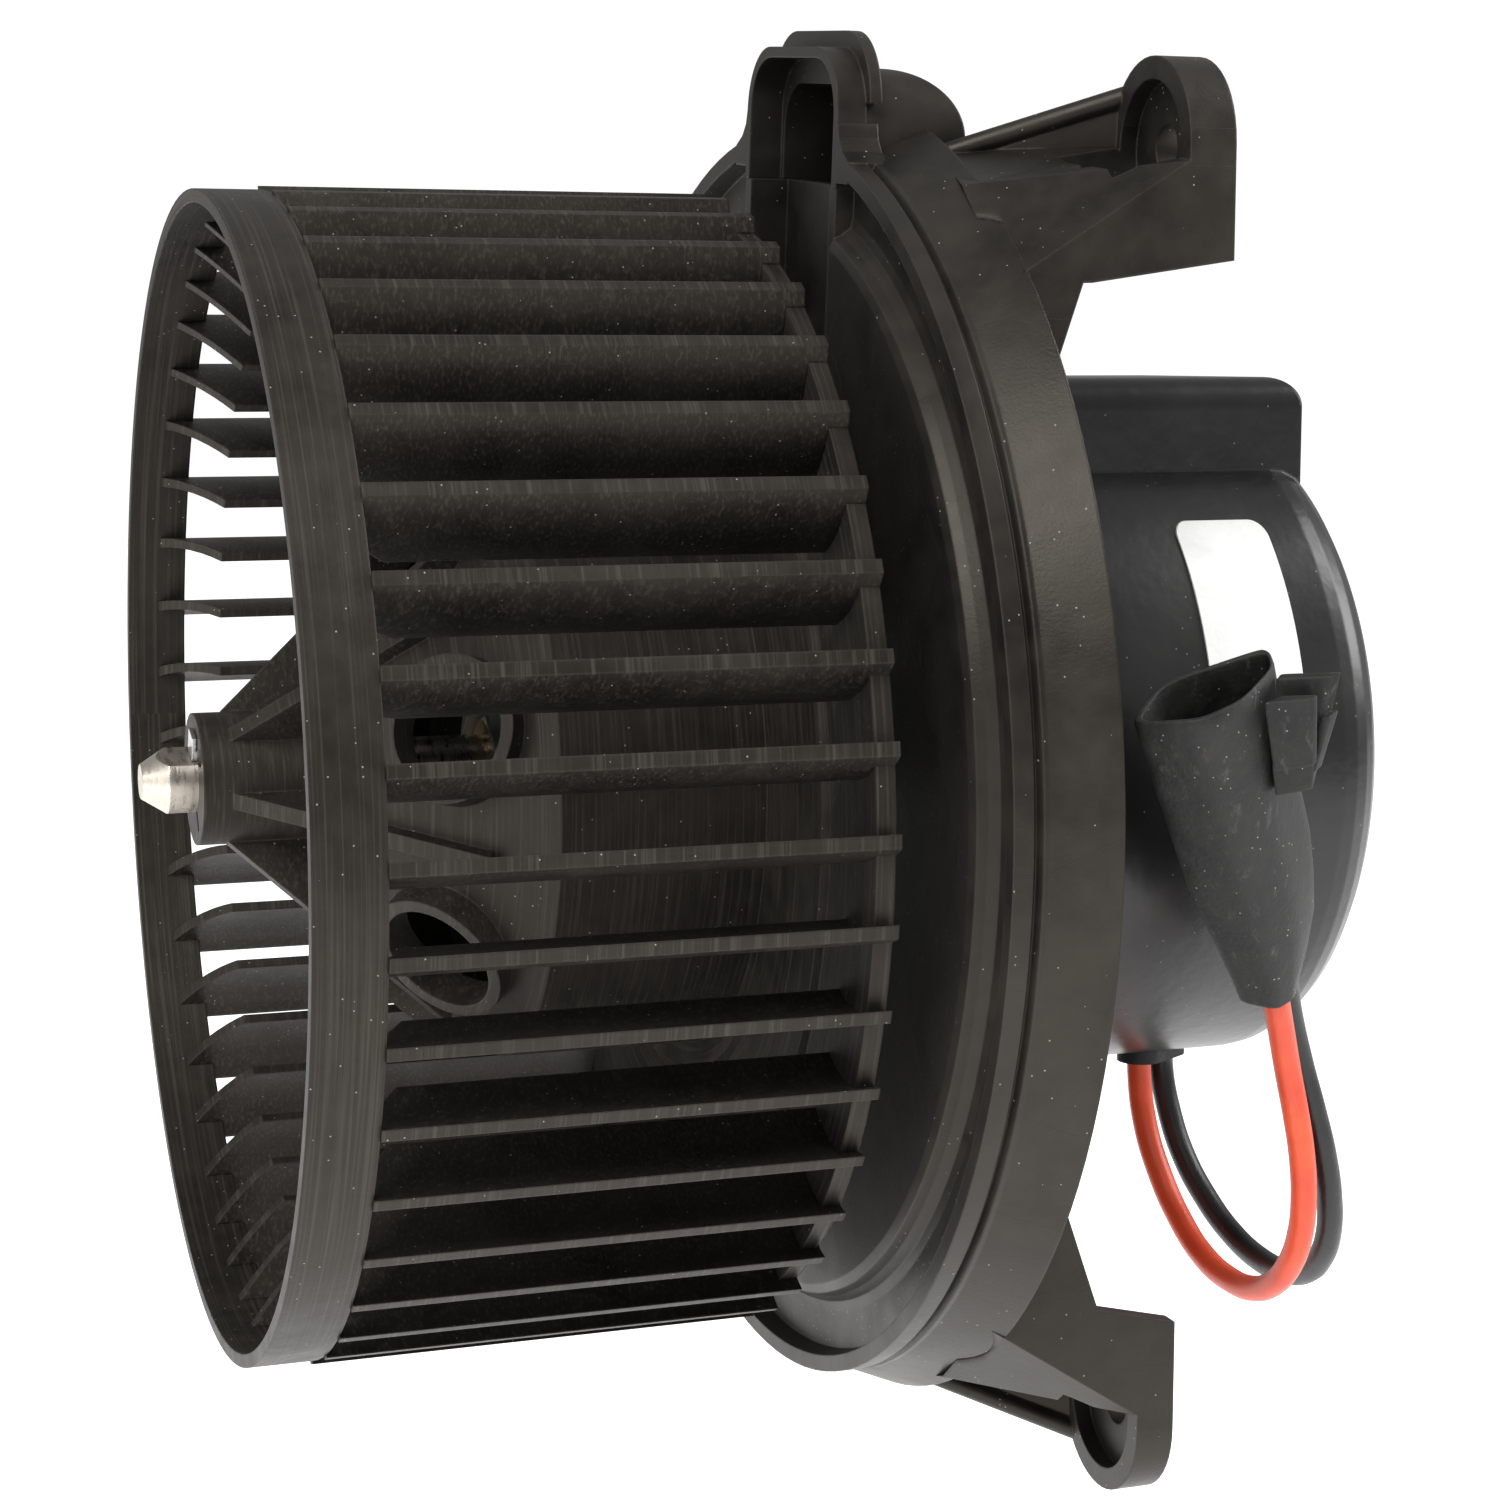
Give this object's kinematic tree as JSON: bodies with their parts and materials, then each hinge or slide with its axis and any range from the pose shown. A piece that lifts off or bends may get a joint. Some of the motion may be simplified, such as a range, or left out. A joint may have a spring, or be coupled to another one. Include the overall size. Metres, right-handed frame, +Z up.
{
  "type": "blower motor wheel",
  "caption": "Squirrel-cage blower wheel on a brushed DC motor with a three-lug round mounting flange, cooling duct, motor cover, and red and black leads to a plug.",
  "frame": {"origin": "on the shaft axis, in the plane where the three lugs' screw heads seat (pocket floors)", "axes": "+X along the shaft from the wheel's open end to the motor cover, +Z up with the cooling duct at the top, +Y away from the plug's side"},
  "size_m": [0.1464, 0.178, 0.1766],
  "materials": {
    "wheel_plastic": "dull moulded, brushed edges",
    "flange_plastic": "dull moulded, faint sink marks",
    "cover_plastic": "semi-gloss moulded",
    "connector_plastic": "dull moulded",
    "label": "satin printed film, left blank",
    "shaft_steel": "ground",
    "can_steel": "zinc plated",
    "core_steel": "laminated",
    "spring_steel": "satin",
    "copper": "enamelled copper",
    "bronze": "satin",
    "ferrite": "sintered",
    "insulator": "moulded",
    "card": "pressed sheet",
    "capacitor": "dipped resin",
    "felt": "oiled felt",
    "rubber": "dull",
    "seal_rubber": "dull",
    "red_insulation": "extruded PVC",
    "black_insulation": "extruded PVC"
  },
  "bodies": {
    "housing": {"mounting_flange": "flange_plastic", "flange_lugs": "flange_plastic", "cooling_duct": "flange_plastic", "motor_cover": "cover_plastic", "cover_label": "label", "motor_can": "can_steel", "field_magnets": "ferrite", "magnet_clips": "spring_steel", "motor_end_plate": "can_steel", "front_bearing": "bronze", "rear_bearing": "bronze", "bearing_retainers": "spring_steel", "oil_felts": "felt", "brush_card": "card", "brush_holders": "bronze", "carbon_brushes": "ferrite", "brush_springs": "spring_steel", "choke_cores": "ferrite", "choke_windings": "copper", "capacitor": "capacitor", "motor_terminals": "bronze", "rubber_isolators": "rubber", "motor_screws": "spring_steel", "cable_grommet": "rubber", "lead_red": "red_insulation", "lead_black": "black_insulation", "connector_housing": "connector_plastic", "connector_terminals": "bronze", "wire_seals": "seal_rubber"},
    "wheel_and_rotor": {"wheel_front_band": "wheel_plastic", "wheel_blades": "wheel_plastic", "wheel_back": "wheel_plastic", "hub_clip": "spring_steel", "motor_shaft": "shaft_steel", "armature_core": "core_steel", "armature_windings": "copper", "armature_insulators": "insulator", "commutator_hub": "insulator", "commutator_bars": "copper", "thrust_washers": "spring_steel"}
  },
  "joints": [
    {"name": "wheel_spin", "type": "hinge", "parent": "housing", "child": "wheel_and_rotor", "pos_m": [0, 0, 0], "axis": [-1, 0, 0], "continuous": true}
  ]
}
